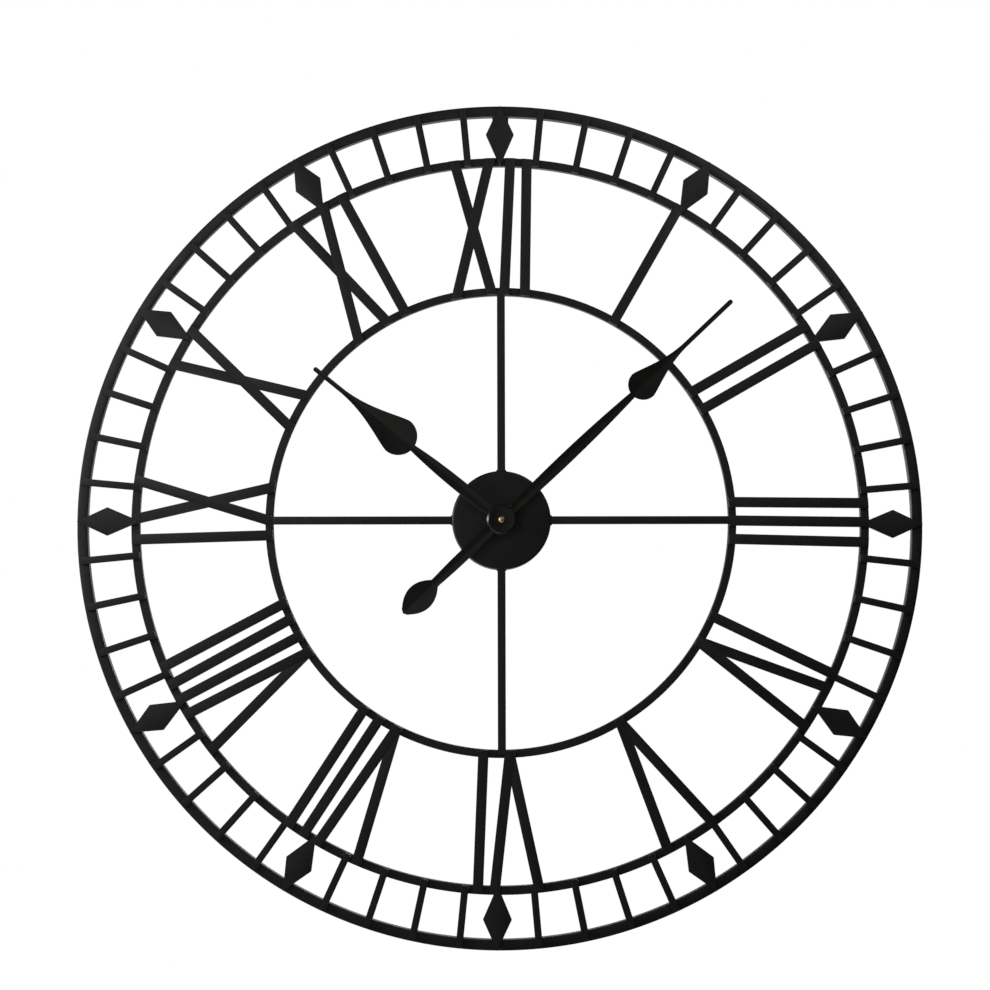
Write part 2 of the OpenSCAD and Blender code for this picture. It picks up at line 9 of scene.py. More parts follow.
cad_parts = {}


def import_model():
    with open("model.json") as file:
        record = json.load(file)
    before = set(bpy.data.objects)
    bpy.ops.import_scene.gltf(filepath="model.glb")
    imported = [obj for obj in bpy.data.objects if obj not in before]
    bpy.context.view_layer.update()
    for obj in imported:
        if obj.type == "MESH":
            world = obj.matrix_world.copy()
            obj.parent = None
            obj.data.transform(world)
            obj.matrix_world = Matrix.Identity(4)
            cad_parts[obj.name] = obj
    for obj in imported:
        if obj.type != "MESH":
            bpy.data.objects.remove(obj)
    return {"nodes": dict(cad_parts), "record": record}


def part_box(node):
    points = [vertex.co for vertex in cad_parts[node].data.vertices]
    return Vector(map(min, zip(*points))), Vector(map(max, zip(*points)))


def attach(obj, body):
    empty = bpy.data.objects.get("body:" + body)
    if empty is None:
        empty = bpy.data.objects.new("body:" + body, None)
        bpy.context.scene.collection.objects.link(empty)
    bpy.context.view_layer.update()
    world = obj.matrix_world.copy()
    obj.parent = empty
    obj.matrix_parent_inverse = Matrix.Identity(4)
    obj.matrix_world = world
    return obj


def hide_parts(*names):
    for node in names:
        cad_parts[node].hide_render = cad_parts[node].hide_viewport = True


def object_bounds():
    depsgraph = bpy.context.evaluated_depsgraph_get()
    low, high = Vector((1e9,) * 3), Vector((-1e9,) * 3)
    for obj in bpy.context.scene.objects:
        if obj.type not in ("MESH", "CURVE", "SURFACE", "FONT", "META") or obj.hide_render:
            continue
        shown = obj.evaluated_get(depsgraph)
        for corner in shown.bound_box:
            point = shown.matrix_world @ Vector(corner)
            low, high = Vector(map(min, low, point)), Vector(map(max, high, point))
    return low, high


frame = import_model()
CAD_LO, CAD_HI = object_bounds()

# Lengths are in mm and angles in degrees, unless a line says otherwise. Clock angles run
# clockwise from twelve, as seen from the front.
MM = 0.001
NODES = frame["nodes"]
FRAME_BODY = "clock_frame"


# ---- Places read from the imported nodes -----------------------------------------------

def spindle():
    """The hands' axis: x and z in metres."""
    lo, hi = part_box("centre_cup")
    return (lo.x + hi.x) / 2, (lo.z + hi.z) / 2


CX, CZ = spindle()


def at(u, v, depth):
    """Point in the shared frame: u right, v up from the hands' axis, depth off the wall, in mm."""
    return Vector((CX + u * MM, -depth * MM, CZ + v * MM))


def depths(node):
    """Back and front depth of a node, in mm."""
    lo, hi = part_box(node)
    return -hi.y / MM, -lo.y / MM


def radii(node):
    """Least and greatest distance of a node's corners from the hands' axis, in mm."""
    found = [math.hypot(v.co.x - CX, v.co.z - CZ) for v in NODES[node].data.vertices]
    return min(found) / MM, max(found) / MM


def centre(node):
    """Middle of a node's box: u, v and depth in mm."""
    lo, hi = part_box(node)
    mid = (lo + hi) / 2
    return (mid.x - CX) / MM, (mid.z - CZ) / MM, -mid.y / MM


OUTER_IN, OUTER_R = radii("outer_ring")
CHAPTER_IN, CHAPTER_R = radii("chapter_ring")
INNER_IN, INNER_R = radii("inner_ring")
RING_FRONT = depths("chapter_ring")[1]
BAR_FRONT = depths("diamonds")[1]
CUP_R = radii("centre_cup")[1]
CUP_FRONT = depths("centre_cup")[1]


# ---- Materials -----------------------------------------------------------------------

def grey(v):
    """A neutral colour."""
    return (v, v, v)


def set_stops(node, stops):
    """Colours (place, colour) of a ramp node, which starts with two stops of its own."""
    elements = node.color_ramp.elements
    for i, (place, colour) in enumerate(stops):
        element = elements[i] if i < 2 else elements.new(place)
        element.position = place
        element.color = (*colour, 1)


class Shader:
    """A Principled material with helpers for procedural colour, roughness and relief."""

    def __init__(self, name, colour, rough, metallic=0.0, specular=0.5):
        self.mat = bpy.data.materials.new(name)
        self.mat.use_nodes = True
        self.tree = self.mat.node_tree
        self.bsdf = next(n for n in self.tree.nodes if n.type == "BSDF_PRINCIPLED")
        self.bsdf.inputs["Base Color"].default_value = (*colour, 1)
        self.bsdf.inputs["Roughness"].default_value = rough
        self.bsdf.inputs["Metallic"].default_value = metallic
        self.bsdf.inputs["Specular IOR Level"].default_value = specular
        self.coords = self.tree.nodes.new("ShaderNodeTexCoord")
        self.relief = None

    def add(self, kind, **values):
        """A new shader node; each value goes to the input or the property of that name."""
        node = self.tree.nodes.new(kind)
        for key, value in values.items():
            if key in node.inputs:
                node.inputs[key].default_value = value
            else:
                setattr(node, key, value)
        return node

    def link(self, source, target):
        self.tree.links.new(source, target)

    def noise(self, scale, detail=2.0, stretch=(1, 1, 1), rough=0.5):
        """Noise in the object's own coordinates, stretched along its axes."""
        mapping = self.add("ShaderNodeMapping")
        mapping.inputs["Scale"].default_value = stretch
        self.link(self.coords.outputs["Object"], mapping.inputs["Vector"])
        node = self.add("ShaderNodeTexNoise", Scale=scale, Detail=detail, Roughness=rough)
        self.link(mapping.outputs["Vector"], node.inputs["Vector"])
        return node.outputs["Fac"]

    def ramp(self, fac, stops):
        """Colours at places between 0 and 1."""
        node = self.add("ShaderNodeValToRGB")
        set_stops(node, stops)
        self.link(fac, node.inputs["Fac"])
        return node.outputs["Color"]

    def colour(self, socket):
        self.link(socket, self.bsdf.inputs["Base Color"])

    def rough(self, fac, low, high):
        """Roughness from low to high over the middle of a noise's range."""
        node = self.add("ShaderNodeMapRange")
        node.inputs["From Min"].default_value = 0.3
        node.inputs["From Max"].default_value = 0.7
        node.inputs["To Min"].default_value = low
        node.inputs["To Max"].default_value = high
        self.link(fac, node.inputs["Value"])
        self.link(node.outputs["Result"], self.bsdf.inputs["Roughness"])

    def bump(self, fac, height_mm, strength=1.0):
        """Relief, laid over the relief that is there already."""
        node = self.add("ShaderNodeBump")
        node.inputs["Strength"].default_value = strength
        node.inputs["Distance"].default_value = height_mm * MM
        self.link(fac, node.inputs["Height"])
        if self.relief is not None:
            self.link(self.relief, node.inputs["Normal"])
        self.relief = node.outputs["Normal"]
        self.link(self.relief, self.bsdf.inputs["Normal"])


def coat_material():
    """Satin black powder coat: fine orange peel, faint mottling, a duller bloom here and there."""
    m = Shader("black_powder_coat", grey(0.014), 0.46, specular=0.62)
    mottle = m.noise(260, 4, rough=0.7)
    m.colour(m.ramp(mottle, [(0.3, (0.0105, 0.0105, 0.0108)), (0.72, (0.019, 0.0188, 0.0184))]))
    m.rough(m.noise(38, 3), 0.42, 0.56)
    m.bump(m.noise(900, 2), 0.03, 0.6)
    m.bump(m.noise(3400, 1), 0.006, 0.5)
    return m.mat


def cup_material():
    """The same black on the drawn cup, laid on thinner and smoother."""
    m = Shader("black_cup_coat", grey(0.013), 0.46, specular=0.55)
    mottle = m.noise(220, 4, rough=0.7)
    m.colour(m.ramp(mottle, [(0.3, (0.0102, 0.0102, 0.0088)), (0.72, (0.0168, 0.0167, 0.0146))]))
    m.rough(m.noise(30, 3), 0.4, 0.5)
    m.bump(m.noise(1100, 2), 0.014, 0.5)
    return m.mat


def hand_material():
    """Black paint on the hands, smoother and deeper than the coat on the frame."""
    m = Shader("black_hand_paint", grey(0.011), 0.31, specular=0.58)
    mottle = m.noise(300, 3, rough=0.65)
    m.colour(m.ramp(mottle, [(0.3, (0.0088, 0.0088, 0.0074)), (0.75, (0.0152, 0.0151, 0.0128))]))
    m.rough(m.noise(60, 3), 0.27, 0.36)
    m.bump(m.noise(1300, 2), 0.012, 0.5)
    return m.mat


def metal_material(name, colour, rough, stretch, grain_mm=0.004):
    """Plated or turned metal with fine tool marks."""
    m = Shader(name, colour, rough, metallic=1.0)
    grain_fac = m.noise(900, 3, stretch)
    low = tuple(c * 0.82 for c in colour)
    high = tuple(min(1, c * 1.12) for c in colour)
    m.colour(m.ramp(m.noise(220, 4, rough=0.65), [(0.3, low), (0.7, high)]))
    m.rough(grain_fac, rough * 0.8, rough * 1.35)
    m.bump(grain_fac, grain_mm, 0.5)
    return m.mat


def plastic_material(name, colour, rough, grain, grain_mm):
    """Moulded plastic with the mould's spark-eroded texture."""
    m = Shader(name, colour, rough, specular=0.5)
    low = tuple(c * 0.88 for c in colour)
    high = tuple(min(1, c * 1.08) for c in colour)
    m.colour(m.ramp(m.noise(140, 3), [(0.3, low), (0.7, high)]))
    m.rough(m.noise(420, 2), rough * 0.9, min(1, rough * 1.15))
    m.bump(m.noise(grain, 2), grain_mm, 0.6)
    return m.mat


def wire_material():
    """Enamelled wire wound in close turns along X, with painted shade in the grooves between
    turns.
    """
    m = Shader("copper_wire", (0.62, 0.25, 0.1), 0.3, metallic=1.0)
    wave = m.add("ShaderNodeTexWave", Scale=1600, Distortion=0.6, bands_direction="X")
    m.link(m.coords.outputs["Object"], wave.inputs["Vector"])
    # the colour darkens where the wave sinks into the grooves between turns: painted shade
    m.colour(m.ramp(wave.outputs["Fac"], [(0.1, (0.3, 0.1, 0.035)), (0.7, (0.72, 0.31, 0.13))]))
    m.bump(wave.outputs["Fac"], 0.08, 0.8)
    return m.mat


def board_material():
    """Green solder mask with paler tracks under it."""
    m = Shader("green_board", (0.02, 0.11, 0.04), 0.35)
    cells = m.add("ShaderNodeTexVoronoi", Scale=420, feature="DISTANCE_TO_EDGE",
                  distance="MANHATTAN")
    m.link(m.coords.outputs["Object"], cells.inputs["Vector"])
    track, mask = (0.05, 0.2, 0.07), (0.012, 0.085, 0.03)
    m.colour(m.ramp(cells.outputs["Distance"], [(0.06, track), (0.12, mask)]))
    m.bump(cells.outputs["Distance"], 0.03, 0.3)
    return m.mat


def sleeve_material():
    """Printed battery sleeve: blue, darker at its left end, with a pale band near the right."""
    lo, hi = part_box("battery")
    m = Shader("battery_sleeve", (0.02, 0.08, 0.3), 0.28, specular=0.5)
    split = m.add("ShaderNodeSeparateXYZ")
    m.link(m.coords.outputs["Object"], split.inputs["Vector"])
    place = m.add("ShaderNodeMapRange")
    place.inputs["From Min"].default_value = lo.x
    place.inputs["From Max"].default_value = hi.x
    m.link(split.outputs["X"], place.inputs["Value"])
    blue, pale, dark = (0.018, 0.07, 0.26), (0.6, 0.6, 0.58), (0.012, 0.03, 0.1)
    ramp = m.ramp(place.outputs["Result"], [(0.0, dark), (0.1, blue), (0.74, pale), (0.8, blue)])
    ramp.node.color_ramp.interpolation = "CONSTANT"
    m.colour(ramp)
    m.rough(m.noise(300, 3), 0.24, 0.36)
    m.bump(m.noise(500, 2), 0.01, 0.4)
    return m.mat


COAT = coat_material()
CUP_COAT = cup_material()
HAND = hand_material()
BRASS = metal_material("turned_brass", (0.88, 0.66, 0.36), 0.4, (1, 6, 1), 0.001)
STEEL = metal_material("plated_steel", (0.62, 0.62, 0.64), 0.28, (1, 1, 6))
CASE = plastic_material("black_moulding", (0.014, 0.014, 0.0145), 0.5, 1500, 0.02)
WHITE = plastic_material("white_acetal", (0.78, 0.77, 0.73), 0.42, 1800, 0.008)
RUBBER = plastic_material("black_rubber", (0.012, 0.012, 0.012), 0.8, 900, 0.03)
SLEEVE = sleeve_material()
WIRE = wire_material()
BOARD = board_material()
BY_SLOT = {"black_steel": COAT, "black_hands": HAND, "brass": BRASS, "black_plastic": CASE,
           "white_plastic": WHITE, "bright_steel": STEEL, "black_rubber": RUBBER,
           "battery_label": SLEEVE, "copper_wire": WIRE, "green_board": BOARD}


# ---- Mesh helpers --------------------------------------------------------------------

def piece(name, bm, material, body, replaces=(), sharp=35):
    """Turns a bmesh in the shared frame into a named piece that rides on a body."""
    bmesh.ops.recalc_face_normals(bm, faces=bm.faces)
    mesh = bpy.data.meshes.new(name)
    bm.to_mesh(mesh)
    bm.free()
    mesh.materials.append(material)
    for polygon in mesh.polygons:
        polygon.use_smooth = True
    mesh.set_sharp_from_angle(angle=math.radians(sharp))
    obj = bpy.data.objects.new(name, mesh)
    bpy.context.collection.objects.link(obj)
    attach(obj, body)
    if replaces:
        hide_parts(*replaces)
    return obj


def join(bm, loops):
    """Walls between closed loops of vertices, each with the next."""
    for a, b in zip(loops, loops[1:]):
        for k, corner in enumerate(a):
            m = (k + 1) % len(a)
            bm.faces.new((corner, a[m], b[m], b[k]))


def tube(bm, loops):
    """Walls between loops of vertices, closed by a face at each end."""
    join(bm, loops)
    bm.faces.new(loops[0])
    bm.faces.new(loops[-1][::-1])


def lathe(bm, profile, segments, place):
    """Turns a closed profile of (radius, along) points; place maps (radius, angle, along)."""
    rings = []
    for k in range(segments):
        a = 2 * math.pi * k / segments
        rings.append([bm.verts.new(place(r, a, y)) for r, y in profile])
    join(bm, rings + rings[:1])


def round_dial(r, a, y):
    """Place for a lathe that turns about the hands' axis."""
    return at(r * math.sin(a), r * math.cos(a), y)


def solid_of_revolution(bm, profile, segments, place):
    """As lathe, but points with radius 0 close on the axis."""
    lathe(bm, profile, segments, place)
    bmesh.ops.remove_doubles(bm, verts=bm.verts, dist=1e-7)
    flat = [f for f in bm.faces if f.calc_area() < 1e-14]
    bmesh.ops.delete(bm, geom=flat, context="FACES")


def arc(cx, cy, r, a0, a1, n):
    """Points of an arc in the profile plane, from a0 to a1 degrees."""
    angles = [math.radians(a0 + (a1 - a0) * i / n) for i in range(n + 1)]
    return [(cx + r * math.cos(a), cy + r * math.sin(a)) for a in angles]


FACE_EDGE = 0.5
SIDE_EDGE = 0.25


def plate(bm, outline, back, front):
    """A flat bar: outline of (u, v) points between two depths, with softened edges."""
    lower = [bm.verts.new(at(u, v, back)) for u, v in outline]
    upper = [bm.verts.new(at(u, v, front)) for u, v in outline]
    n = len(outline)
    bm.faces.new(lower)
    bm.faces.new(upper)
    walls = [bm.faces.new((lower[i], lower[(i + 1) % n], upper[(i + 1) % n], upper[i]))
             for i in range(n)]
    uprights = {e for f in walls for e in f.edges
                if {v in lower for v in e.verts} == {True, False}}
    first = bmesh.ops.bevel(bm, geom=list(uprights), offset=SIDE_EDGE * MM, segments=2,
                            profile=0.5, affect="EDGES", clamp_overlap=True)
    sides = [f for f in set(first["faces"]) | set(walls) if f.is_valid]
    rims = {e for f in sides for e in f.edges if e.is_valid and is_rim(e, back, front)}
    bmesh.ops.bevel(bm, geom=list(rims), offset=FACE_EDGE * MM, segments=3,
                    profile=0.5, affect="EDGES", clamp_overlap=True)


def is_rim(edge, back, front):
    """True for an edge that lies in the front or the back plane of a plate."""
    a, b = (-v.co.y / MM for v in edge.verts)
    return abs(a - b) < 1e-4 and min(abs(a - back), abs(a - front)) < 1e-3


def turn(point, angle):
    """Rotates (u, v) clockwise by an angle in degrees, as the hands go."""
    u, v = point
    c, s = math.cos(math.radians(angle)), math.sin(math.radians(angle))
    return (u * c + v * s, v * c - u * s)


def bead(bm, start, end, radius, rng):
    """A short run of weld between two points: a lumpy rod with rounded ends."""
    run = end - start
    length = run.length
    along = run.normalized()
    side = along.orthogonal().normalized()
    up = along.cross(side)
    steps = max(6, int(length / (0.9 * MM)))
    around = 10
    ripple, wander, blunt = 0.12, 0.08, 0.08
    angles = [2 * math.pi * k / around for k in range(around)]
    rings = []
    for i in range(steps + 1):
        t = i / steps
        dome = math.sqrt(max(0.0, 1 - (2 * t - 1) ** 6))
        lump = 1 + ripple * math.sin(i * 2.3) + rng.uniform(-wander, wander)
        r = radius * MM * max(blunt, dome) * lump
        middle = start + run * t
        rings.append([bm.verts.new(middle + side * math.cos(a) * r + up * math.sin(a) * r)
                      for a in angles])
    tube(bm, rings)


# ---- Rings ---------------------------------------------------------------------------

def ring_profile(r_in, r_out, back, front, edge, crown=0.0, tilt=0.0):
    """Section of a rolled bar; crown bows its face and tilt lets the outer edge fall back."""
    width = r_out - r_in

    def face(r):
        t = (r - r_in) / width
        return front - crown * (2 * t - 1) ** 2 - tilt * t * t

    eighths = [i * math.pi / 8 for i in (1, 2, 3)]
    points = [(r_in, back + edge), (r_in, face(r_in) - edge)]
    points += [(r_in + edge * (1 - math.cos(a)), face(r_in + edge) - edge * (1 - math.sin(a)))
               for a in eighths]
    steps = 10
    for i in range(steps + 1):
        r = r_in + edge + (width - 2 * edge) * i / steps
        points.append((r, face(r)))
    points += [(r_out - edge * (1 - math.cos(a)), face(r_out - edge) - edge * (1 - math.sin(a)))
               for a in reversed(eighths)]
    points += [(r_out, face(r_out) - edge), (r_out, back + edge)]
    points += arc(r_out - edge, back + edge, edge, -22.5, -90, 3)
    points += arc(r_in + edge, back + edge, edge, -90, -157.5, 3)
    return points


def ring(name, node, edge, crown=0.0, tilt=0.0):
    """One of the three rings, in the room its node takes."""
    r_in, r_out = radii(node)
    back, front = depths(node)
    bm = bmesh.new()
    lathe(bm, ring_profile(r_in, r_out, back, front, edge, crown, tilt), 480, round_dial)
    piece(name, bm, COAT, FRAME_BODY, [node], sharp=60)


ring("outer_ring_rolled", "outer_ring", 0.9, crown=0.42, tilt=0.4)
ring("chapter_ring_rolled", "chapter_ring", 0.6, crown=0.05)
ring("inner_ring_rolled", "inner_ring", 0.6, crown=0.05)


# ---- Flat bars -----------------------------------------------------------------------

HOURS = range(12)
# Bars stop this short of the far edge of the ring they lie on. Numerals overlap other bars
# there, so those bars are thinner by a lap that keeps the faces apart.
SHORT_BY = 0.7
LAP = 0.06
BAR_END = CHAPTER_IN + SHORT_BY
TICK_W = 6.6
TICK_FIRST = 5.7
TICK_PITCH = 6.4
TICK_SKEW = 0.4
SKEW_FROM = 18
TICK_OUT = OUTER_R - 2
DIAMOND_HALF = 13.4
DIAMOND_MID = 371
DIAMOND_OUT = radii("diamonds")[1]
DIAMOND_FOOT = 0.7
DIAMOND_W_CHAPTER = 4.6
DIAMOND_W_OUTER = 9
DIAMOND_TURN = [-0.1, 0.3, 0.1, 0.6, 0.9, 0, 0.7, 0.6, 0.3, -0.1, 0.3, 0.2]
DIAMOND_ANGLES = [30 * h + DIAMOND_TURN[h] for h in HOURS]
SPOKE_W = 7.5
SPOKE_FOOT = CUP_R - 0.4
SPOKE_OUT = radii("spokes")[1]
SPOKE_ANGLES = (0, 90, 180, 270)


def tick_angle(h, k):
    """Clock angle of the kth minute bar after hour h; the spacing wanders round the dial."""
    even = 30 * h + TICK_FIRST + k * TICK_PITCH
    return even + TICK_SKEW * math.sin(math.radians(even - SKEW_FROM))


TICK_ANGLES = [tick_angle(h, k) for h in HOURS for k in range(4)]

# Each numeral's bars: offsets from the hour's radius at the chapter and the inner ring.
# In a numeral with a V or an X, the last bar is unbroken and the one before it is cut by it.
STROKE_W = 9.7
STROKE_HI = 341
STROKE_LO = 222
STROKE_OUT = CHAPTER_R - SHORT_BY
STROKE_IN = INNER_IN + SHORT_BY
NUMERALS = {
    "i": [(-2, -1.5)],
    "ii": [(-15, -15), (5, 4.5)],
    "iii": [(-16, -17), (2, 0.5), (21, 18)],
    "iv": [(-30, -21), (-15.5, 5.5), (25.5, 7)],
    "v": [(-28.5, -2), (19.5, -1)],
    "vi": [(22.5, 17.5), (-34, -8), (6.5, -7)],
    "vii": [(13.5, 6.5), (30, 23.5), (-41.5, -13), (-2, -12)],
    "viii": [(5.5, 1), (21.5, 19), (39.5, 35), (-49.5, -17), (-10, -16)],
    "ix": [(-17.5, -14), (2.5, 30), (37.5, 1)],
    "x": [(-26, 9.5), (8.5, -22)],
    "xi": [(23.5, 20.5), (-28.5, 0), (2.5, -30)],
    "xii": [(9, 3.5), (25, 23), (-43.5, -10), (-12, -40)],
}


class Stroke:
    """One straight bar of a numeral, in the plane where the numeral stands at twelve."""

    def __init__(self, hi, lo):
        self.point = Vector(((hi + lo) / 2, (STROKE_HI + STROKE_LO) / 2))
        self.along = Vector((hi - lo, STROKE_HI - STROKE_LO)).normalized()
        self.across = Vector((self.along.y, -self.along.x))

    def on_circle(self, side, radius):
        """Where the bar's edge (side -1 left, 1 right) crosses a circle round the axis."""
        p = self.point + self.across * (side * STROKE_W / 2)
        b = p.dot(self.along)
        t = -b + math.sqrt(b * b - p.dot(p) + radius * radius)
        return tuple(p + self.along * t)

    def outline(self):
        """The bar's four corners."""
        return [self.on_circle(-1, STROKE_IN), self.on_circle(1, STROKE_IN),
                self.on_circle(1, STROKE_OUT), self.on_circle(-1, STROKE_OUT)]

    def offset(self, point):
        """How far to the right of the bar's middle line a point lies."""
        return (Vector(point) - self.point).dot(self.across)


def keep_side(outline, stroke, side):
    """The part of a convex outline on one side of an unbroken bar."""
    def out(p):
        return side * stroke.offset(p) - STROKE_W / 2

    kept = []
    for p, q in zip(outline, outline[1:] + outline[:1]):
        a, b = out(p), out(q)
        if a >= 0:
            kept.append(p)
        if (a < 0) != (b < 0):
            t = a / (a - b)
            kept.append((p[0] + (q[0] - p[0]) * t, p[1] + (q[1] - p[1]) * t))
    return kept


def area(outline):
    """Area of an outline, in square mm."""
    return abs(sum(p[0] * q[1] - q[0] * p[1]
                   for p, q in zip(outline, outline[1:] + outline[:1]))) / 2


def bars_of(numeral):
    """Outlines of a numeral's bars: plain ones, the unbroken one, and what it cuts."""
    strokes = [Stroke(*pair) for pair in NUMERALS[numeral]]
    crossing = any(letter in numeral for letter in "vx")
    if not crossing:
        return [s.outline() for s in strokes]
    whole, cut = strokes[-1], strokes[-2]
    least_area = 4
    parts = [keep_side(cut.outline(), whole, side) for side in (-1, 1)]
    parts = [p for p in parts if len(p) > 2 and area(p) > least_area]
    return [s.outline() for s in strokes[:-2]] + [whole.outline()] + parts


def bars(name, node, outlines, front):
    """A piece made of flat bars that lie on the rings."""
    bm = bmesh.new()
    for outline in outlines:
        plate(bm, outline, RING_FRONT, front)
    piece(name, bm, COAT, FRAME_BODY, [node])


def turned(outline, angles):
    """The same outline, turned to each of several clock angles."""
    return [[turn(p, angle) for p in outline] for angle in angles]


def straight(width, r_in, r_out):
    """Outline of a straight bar that stands at twelve."""
    half = width / 2
    return [(-half, r_in), (half, r_in), (half, r_out), (-half, r_out)]


DIAMOND = [(-DIAMOND_FOOT, BAR_END), (DIAMOND_FOOT, BAR_END), (DIAMOND_HALF, DIAMOND_MID),
           (0, DIAMOND_OUT), (-DIAMOND_HALF, DIAMOND_MID)]

for number, numeral in enumerate(NUMERALS, 1):
    outlines = [[turn(p, 30 * number) for p in outline] for outline in bars_of(numeral)]
    bars("numeral_" + numeral + "_bars", "numeral_" + numeral, outlines, BAR_FRONT)
bars("minute_bars_cut", "minute_bars", turned(straight(TICK_W, BAR_END, TICK_OUT), TICK_ANGLES),
     BAR_FRONT - LAP)
bars("diamonds_cut", "diamonds", turned(DIAMOND, DIAMOND_ANGLES), BAR_FRONT - LAP)
bars("spokes_cut", "spokes", turned(straight(SPOKE_W, SPOKE_FOOT, SPOKE_OUT), SPOKE_ANGLES),
     BAR_FRONT - LAP)


# ---- Welds ---------------------------------------------------------------------------

# How far a corner bead's middle stands off the wall of its ring.
CORNER = 0.4


def bead_across(bm, angle, radius, across, half, depth, size, rng):
    """A bead square to a bar: across is its middle's offset, half is half its length."""
    ends = [at(*turn((across + s * half, radius), angle), depth) for s in (-1, 1)]
    bead(bm, ends[0], ends[1], size, rng)


def corner_bead(bm, angle, radius, across, width, size, rng):
    """A bead behind a bar, in the corner between its back and a ring's wall."""
    tucked = RING_FRONT - 0.35 * size
    bead_across(bm, angle, radius, across, width / 2 * 0.86, tucked, size, rng)


def tack(bm, angle, radius, width, rng):
    """Small tacks along a bar's two edges, over the ring that it lies on."""
    share_tacked = 0.7
    clear = 0.8
    for side in (-1, 1):
        beside = angle + math.degrees(side * width / 2 / radius)
        reach = rng.uniform(0.7, 1.5)
        if rng.random() < share_tacked:
            ends = [at(*turn((0, radius + clear + (1 + s) * reach), beside), BAR_FRONT - 0.5)
                    for s in (-1, 1)]
            bead(bm, ends[0], ends[1], rng.uniform(0.45, 0.75), rng)


def minute_band_welds(bm, rng):
    """Welds of the minute bars and the diamonds, on the chapter ring and the outer ring."""
    for angle in TICK_ANGLES:
        tack(bm, angle, BAR_END, TICK_W, rng)
        corner_bead(bm, angle, CHAPTER_R + CORNER, 0, TICK_W, 1.2, rng)
        corner_bead(bm, angle, OUTER_IN - CORNER, 0, TICK_W, 1.2, rng)
    for angle in DIAMOND_ANGLES:
        tack(bm, angle, BAR_END, 1, rng)
        corner_bead(bm, angle, CHAPTER_R + 0.3, 0, DIAMOND_W_CHAPTER, 1.1, rng)
        corner_bead(bm, angle, OUTER_IN - CORNER, 0, DIAMOND_W_OUTER, 1.2, rng)


def numeral_welds(bm, rng):
    """Welds of the numerals' bars, on the inner ring and the chapter ring."""
    for number, numeral in enumerate(NUMERALS, 1):
        for hi, lo in NUMERALS[numeral]:
            u, v = Stroke(hi, lo).on_circle(0, STROKE_IN)
            foot = 30 * number + math.degrees(math.atan2(u, v))
            tack(bm, foot, STROKE_IN, STROKE_W, rng)
            corner_bead(bm, 30 * number, CHAPTER_IN - CORNER, hi, STROKE_W, 1.3, rng)
            corner_bead(bm, 30 * number, INNER_R + CORNER, lo, STROKE_W, 1.3, rng)


def cup_welds(bm, rng):
    """Welds of the spokes: at the inner ring, up their flanks at the cup and behind them."""
    for angle in SPOKE_ANGLES:
        corner_bead(bm, angle, INNER_IN - CORNER, 0, SPOKE_W, 1.3, rng)
        for side in (-1, 1):
            foot = turn((side * (SPOKE_W / 2 + 0.1), CUP_R + 0.1), angle)
            bead(bm, at(*foot, RING_FRONT + 0.2), at(*foot, BAR_FRONT - 0.3), 0.95, rng)
        bead_across(bm, angle, CUP_R + 0.2, 0, SPOKE_W * 0.45, RING_FRONT - 0.2, 1.2, rng)


weld_rng = random.Random(7)
for name, lay in (("welds_minute_band", minute_band_welds), ("welds_numerals", numeral_welds),
                  ("welds_cup", cup_welds)):
    mesh = bmesh.new()
    lay(mesh, weld_rng)
    piece(name, mesh, COAT, FRAME_BODY, sharp=60)


# ---- Centre cup ----------------------------------------------------------------------

CUP_SHEET = 1.2
CUP_CORNER = 2.5
CUP_HOLE = 4.3
CUP_DOME = 0.22


def cup():
    """Drawn steel cup: a rolled front edge, a barely domed face and a dressed rear rim."""
    wall = CUP_R - CUP_SHEET
    cx, cy = CUP_R - CUP_CORNER, CUP_FRONT - CUP_CORNER
    shares = (0.8, 0.6, 0.4, 0.3)
    rim = ((0.3, 0.0), (0.08, 0.1), (0.0, 0.35))
    points = [(CUP_R - inset, depth) for inset, depth in rim]
    points += [(x, y - CUP_DOME) for x, y in arc(cx, cy, CUP_CORNER, 0, 90, 8)]
    points += [(cx * t, CUP_FRONT - CUP_DOME * t * t) for t in shares]
    points += [(CUP_HOLE + 0.3, CUP_FRONT), (CUP_HOLE, CUP_FRONT - 0.3),
               (CUP_HOLE, CUP_FRONT - CUP_SHEET)]
    points += [(cx * t, CUP_FRONT - CUP_SHEET - CUP_DOME * t * t) for t in reversed(shares)]
    points += [(x, y - CUP_DOME) for x, y in arc(cx, cy, CUP_CORNER - CUP_SHEET, 90, 0, 6)]
    points += [(wall + inset, depth) for inset, depth in reversed(rim)]
    bm = bmesh.new()
    lathe(bm, points, 192, round_dial)
    piece("cup_drawn", bm, CUP_COAT, FRAME_BODY, ["centre_cup"], sharp=50)


cup()


# ---- Hanging bracket -----------------------------------------------------------------

STRIP_T = 2.5
STRIP_BEND_Z = 7.5
STRIP_BEND_R = 1.2
STRIP_EDGE = 0.35
STRIP_HOLE_R = 4.0
STRIP_CHAMFER = 0.3


def strip_point(x, depth, z):
    """Point of the bracket: x and z from the middle of its hole, depth from the wall, in mm."""
    return Vector((x * MM, -depth * MM, z * MM))


def strip_line(pad_front, top):
    """Middle line (z, depth) of the strip, from the hole over both bends to the pad's end."""
    r = STRIP_BEND_R + STRIP_T / 2
    z_mid, y_tab, y_pad = STRIP_BEND_Z + STRIP_T / 2, STRIP_T / 2, pad_front - STRIP_T / 2
    bend = [i * math.pi / 8 for i in range(5)]
    line = [(0.0, y_tab), (z_mid - r, y_tab)]
    line += [(z_mid - r + r * math.sin(a), y_tab + r - r * math.cos(a)) for a in bend[1:]]
    line += [(z_mid + r - r * math.cos(a), y_pad - r + r * math.sin(a)) for a in bend]
    return line + [(top - 0.4, y_pad), (top, y_pad)]


